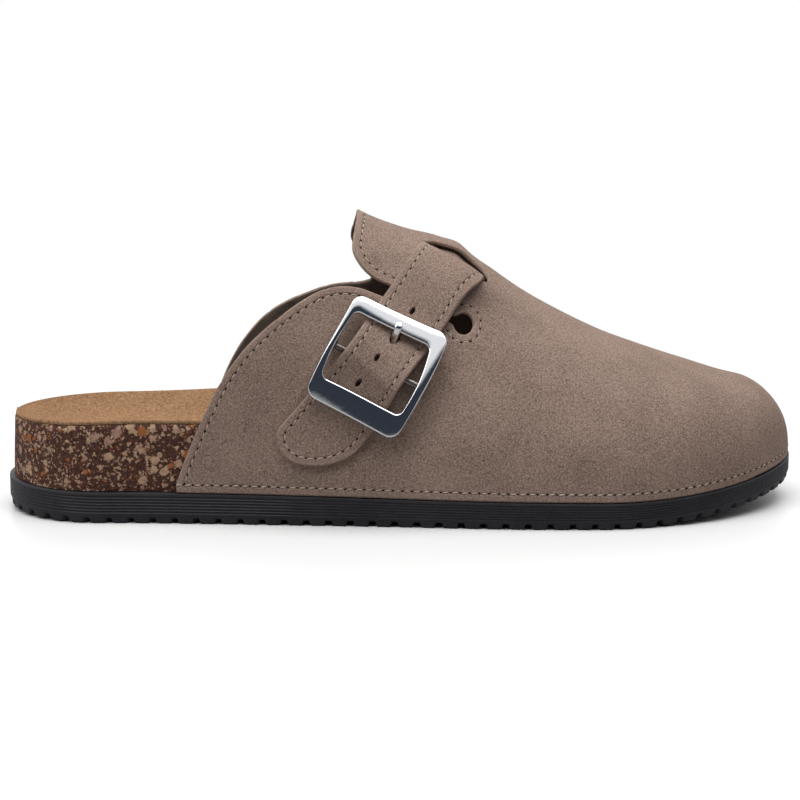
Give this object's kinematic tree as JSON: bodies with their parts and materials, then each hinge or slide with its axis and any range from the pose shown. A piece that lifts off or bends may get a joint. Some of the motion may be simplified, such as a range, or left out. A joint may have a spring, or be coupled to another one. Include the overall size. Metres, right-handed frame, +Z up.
{
  "type": "clog",
  "caption": "Closed-toe suede clog with a buckled instep strap, cork footbed and notched black sole, right foot.",
  "frame": {"origin": "on the sole's flat underside at the middle of its length, on the floor", "axes": "+X towards the toe, -Y towards the outer side of the foot with the buckle, +Z up"},
  "size_m": [0.2699, 0.0967, 0.1001],
  "materials": {
    "suede": "matt napped taupe suede",
    "cork": "sealed dark cork with tan granules",
    "lining": "matt tan suede",
    "sole": "satin black moulded",
    "metal": "polished plated"
  },
  "bodies": {
    "root": {"outsole": "sole", "midsole": "cork", "insole": "lining", "upper": "suede", "strap": "suede", "tab": "suede", "buckle": "metal", "prong": "metal"}
  },
  "joints": []
}
